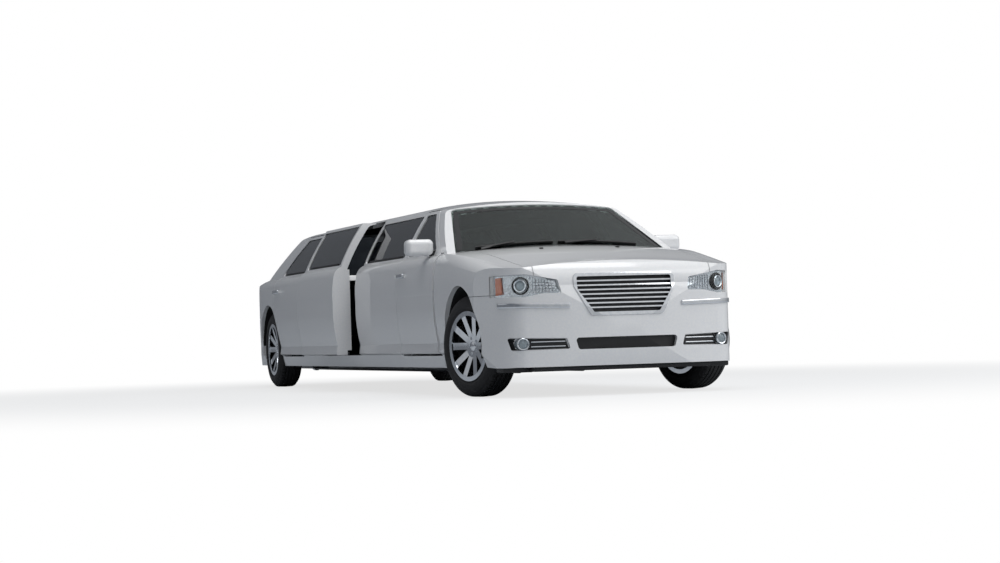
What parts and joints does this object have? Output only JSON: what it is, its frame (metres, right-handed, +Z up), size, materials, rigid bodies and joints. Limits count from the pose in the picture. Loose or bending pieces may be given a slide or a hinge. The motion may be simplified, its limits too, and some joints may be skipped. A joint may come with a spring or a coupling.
{
  "type": "stretch limousine",
  "caption": "Long stretch limousine with hinged doors, a plug door standing out on its right side, steered front wheels, opening hood and trunk, and a hollow cabin.",
  "frame": {"origin": "on the ground at mid-length, on the centre plane", "axes": "+X forward, +Y to the car's left, +Z up"},
  "size_m": [8.5967, 2.1956, 1.4899],
  "materials": {
    "white_paint": "gloss",
    "tinted_glass": "gloss",
    "clear_glass": "gloss",
    "chrome": "polished",
    "black_plastic": "matte",
    "lamp_housing": "gloss",
    "red_lens": "gloss",
    "tyre_rubber": "matte",
    "cast_metal": "matte",
    "steel": "satin",
    "floor_paint": "matte",
    "leather": "satin"
  },
  "bodies": {
    "body": {"side_frame_left": "white_paint", "side_frame_right": "white_paint", "sill_left": "white_paint", "sill_right": "white_paint", "trunk_tub": "floor_paint", "roof": "white_paint", "cowl": "black_plastic", "fender_left": "white_paint", "fender_right": "white_paint", "front_bumper": "white_paint", "rear_bumper": "white_paint", "windshield": "clear_glass", "rear_window": "tinted_glass", "fixed_glass": "tinted_glass", "plug_door": "white_paint", "plug_door_glass": "tinted_glass", "plug_door_arms": "steel", "headlamp_covers": "clear_glass", "headlamps": "lamp_housing", "tail_lamps": "red_lens", "grille": "chrome", "grille_mesh": "black_plastic", "fog_lamps": "clear_glass", "floor_pan": "floor_paint", "engine": "cast_metal", "driveline": "cast_metal", "front_suspension": "cast_metal", "rear_suspension": "cast_metal", "exhaust": "steel", "fuel_tank": "black_plastic", "dashboard": "black_plastic", "steering_wheel": "black_plastic", "front_seats": "leather", "bench_seat": "leather", "partition": "black_plastic", "bar_console": "black_plastic"},
    "hood": {"hood": "white_paint"},
    "trunk_lid": {"trunk_lid": "white_paint"},
    "door_front_left": {"door_front_left": "white_paint", "door_glass_front_left": "tinted_glass", "mirror_left": "white_paint"},
    "door_rear_left": {"door_rear_left": "white_paint", "door_glass_rear_left": "tinted_glass"},
    "steer_left": {"knuckle_left": "cast_metal"},
    "wheel_front_left": {"tyre_front_left": "tyre_rubber", "rim_front_left": "chrome"},
    "wheel_rear_left": {"tyre_rear_left": "tyre_rubber", "rim_rear_left": "chrome"},
    "door_front_right": {"door_front_right": "white_paint", "door_glass_front_right": "tinted_glass", "mirror_right": "white_paint"},
    "door_rear_right": {"door_rear_right": "white_paint", "door_glass_rear_right": "tinted_glass"},
    "steer_right": {"knuckle_right": "cast_metal"},
    "wheel_front_right": {"tyre_front_right": "tyre_rubber", "rim_front_right": "chrome"},
    "wheel_rear_right": {"tyre_rear_right": "tyre_rubber", "rim_rear_right": "chrome"}
  },
  "joints": [
    {"name": "hood_hinge", "type": "hinge", "parent": "body", "child": "hood", "pos_m": [3.085, 0, 0.985], "axis": [0, -1, 0], "range_deg": [0, 55]},
    {"name": "trunk_lid_hinge", "type": "hinge", "parent": "body", "child": "trunk_lid", "pos_m": [-3.61, 0, 0.985], "axis": [0, 1, 0], "range_deg": [0, 70]},
    {"name": "door_front_left_hinge", "type": "hinge", "parent": "body", "child": "door_front_left", "pos_m": [2.71, 0.905, 0.74], "axis": [0, 0, -1], "range_deg": [0, 65]},
    {"name": "door_rear_left_hinge", "type": "hinge", "parent": "body", "child": "door_rear_left", "pos_m": [-1.944, 0.905, 0.74], "axis": [0, 0, -1], "range_deg": [0, 65]},
    {"name": "steering_left", "type": "hinge", "parent": "body", "child": "steer_left", "pos_m": [3.43, 0.735, 0.36], "axis": [0, 0, 1], "range_deg": [-52, 20]},
    {"name": "wheel_front_left_spin", "type": "hinge", "parent": "steer_left", "child": "wheel_front_left", "pos_m": [3.41071, 0.80229, 0.36], "axis": [-0.2756, 0.9613, 0], "continuous": true},
    {"name": "wheel_rear_left_spin", "type": "hinge", "parent": "body", "child": "wheel_rear_left", "pos_m": [-3.178, 0.805, 0.36], "axis": [0, 1, 0], "continuous": true},
    {"name": "door_front_right_hinge", "type": "hinge", "parent": "body", "child": "door_front_right", "pos_m": [2.71, -0.905, 0.74], "axis": [0, 0, 1], "range_deg": [0, 65]},
    {"name": "door_rear_right_hinge", "type": "hinge", "parent": "body", "child": "door_rear_right", "pos_m": [-1.944, -0.905, 0.74], "axis": [0, 0, 1], "range_deg": [0, 65]},
    {"name": "steering_right", "type": "hinge", "parent": "body", "child": "steer_right", "pos_m": [3.43, -0.735, 0.36], "axis": [0, 0, 1], "range_deg": [-52, 20]},
    {"name": "wheel_front_right_spin", "type": "hinge", "parent": "steer_right", "child": "wheel_front_right", "pos_m": [3.44929, -0.80229, 0.36], "axis": [-0.2756, 0.9613, 0], "continuous": true},
    {"name": "wheel_rear_right_spin", "type": "hinge", "parent": "body", "child": "wheel_rear_right", "pos_m": [-3.178, -0.805, 0.36], "axis": [0, 1, 0], "continuous": true}
  ],
  "couplings": [
    {"joint": "steering_right", "follows": "steering_left", "ratio": 1}
  ]
}
